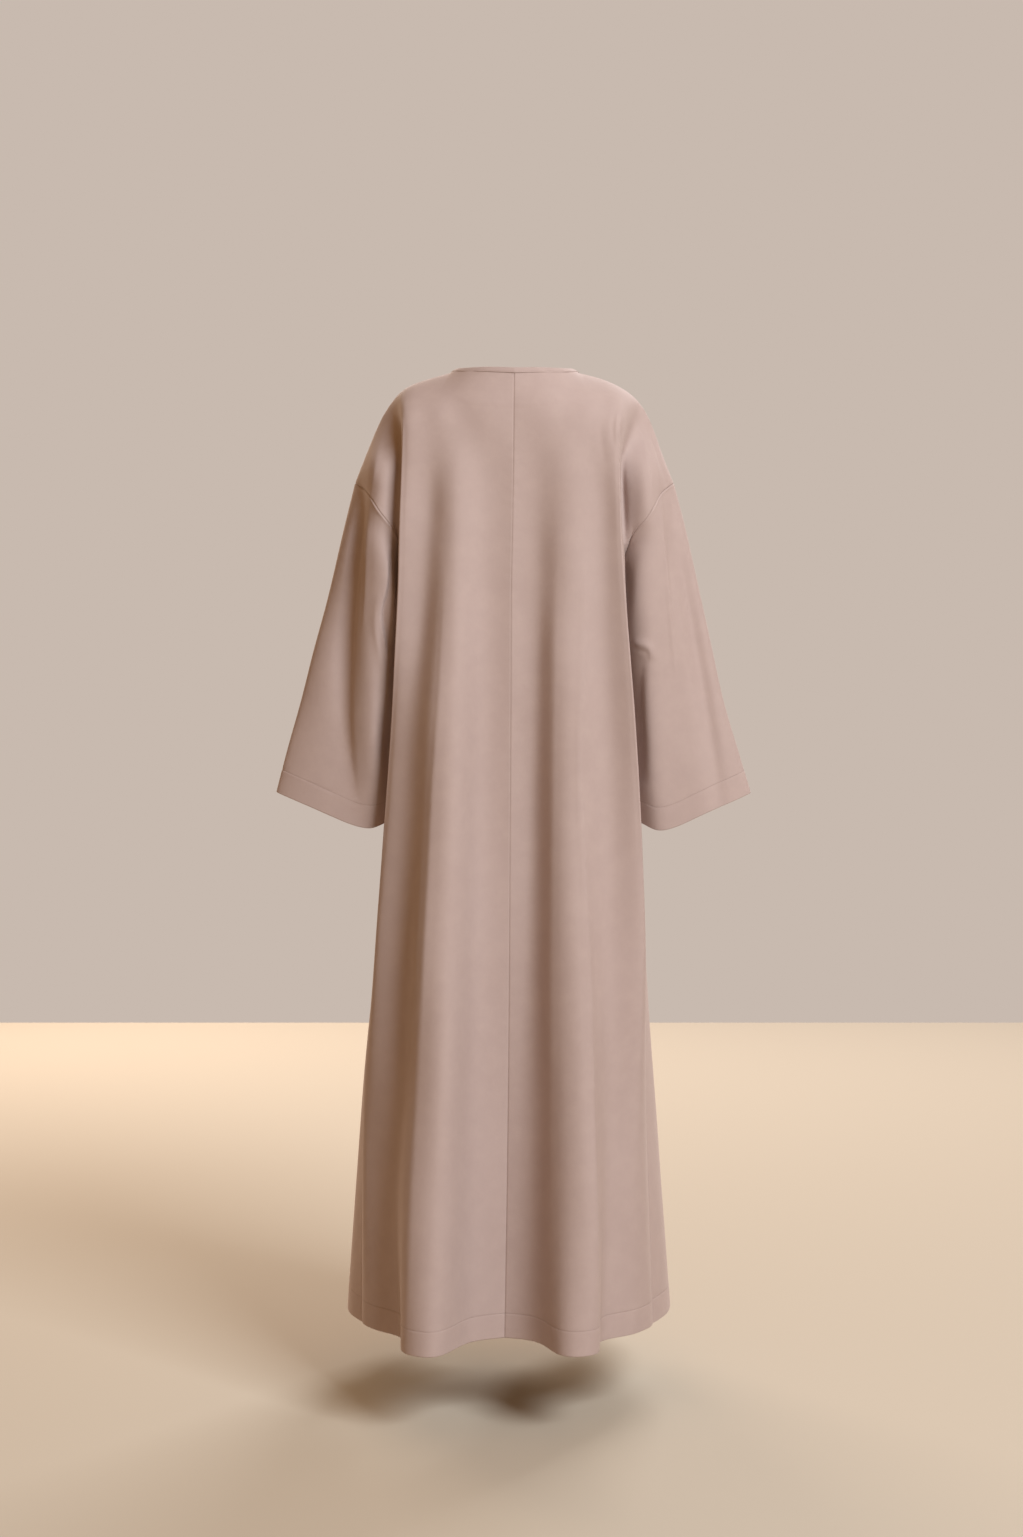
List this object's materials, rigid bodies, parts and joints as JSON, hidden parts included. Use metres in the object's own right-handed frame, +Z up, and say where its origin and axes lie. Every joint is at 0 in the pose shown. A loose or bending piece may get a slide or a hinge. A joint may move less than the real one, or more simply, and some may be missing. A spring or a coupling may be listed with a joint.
{
  "type": "abaya cloak",
  "caption": "Floor-length open-front cloak in soft matte cloth with a narrow bound neck, dropped shoulders, wide straight sleeves and a wavy A-line hem, held hollow as worn.",
  "frame": {"origin": "middle of the neck opening, level with the tops of the shoulders", "axes": "+Z up, -Y the way the wearer faces, +X to the wearer's left"},
  "size_m": [0.7133, 0.529, 1.4111],
  "materials": {
    "crepe": "matte woven crepe",
    "crepe_trim": "matte woven crepe, pressed"
  },
  "bodies": {
    "root": {"back_left": "crepe", "back_right": "crepe", "front_left": "crepe", "front_right": "crepe", "sleeve_left": "crepe", "sleeve_right": "crepe", "neck_binding": "crepe_trim", "neck_facing_back": "crepe_trim"}
  },
  "joints": []
}
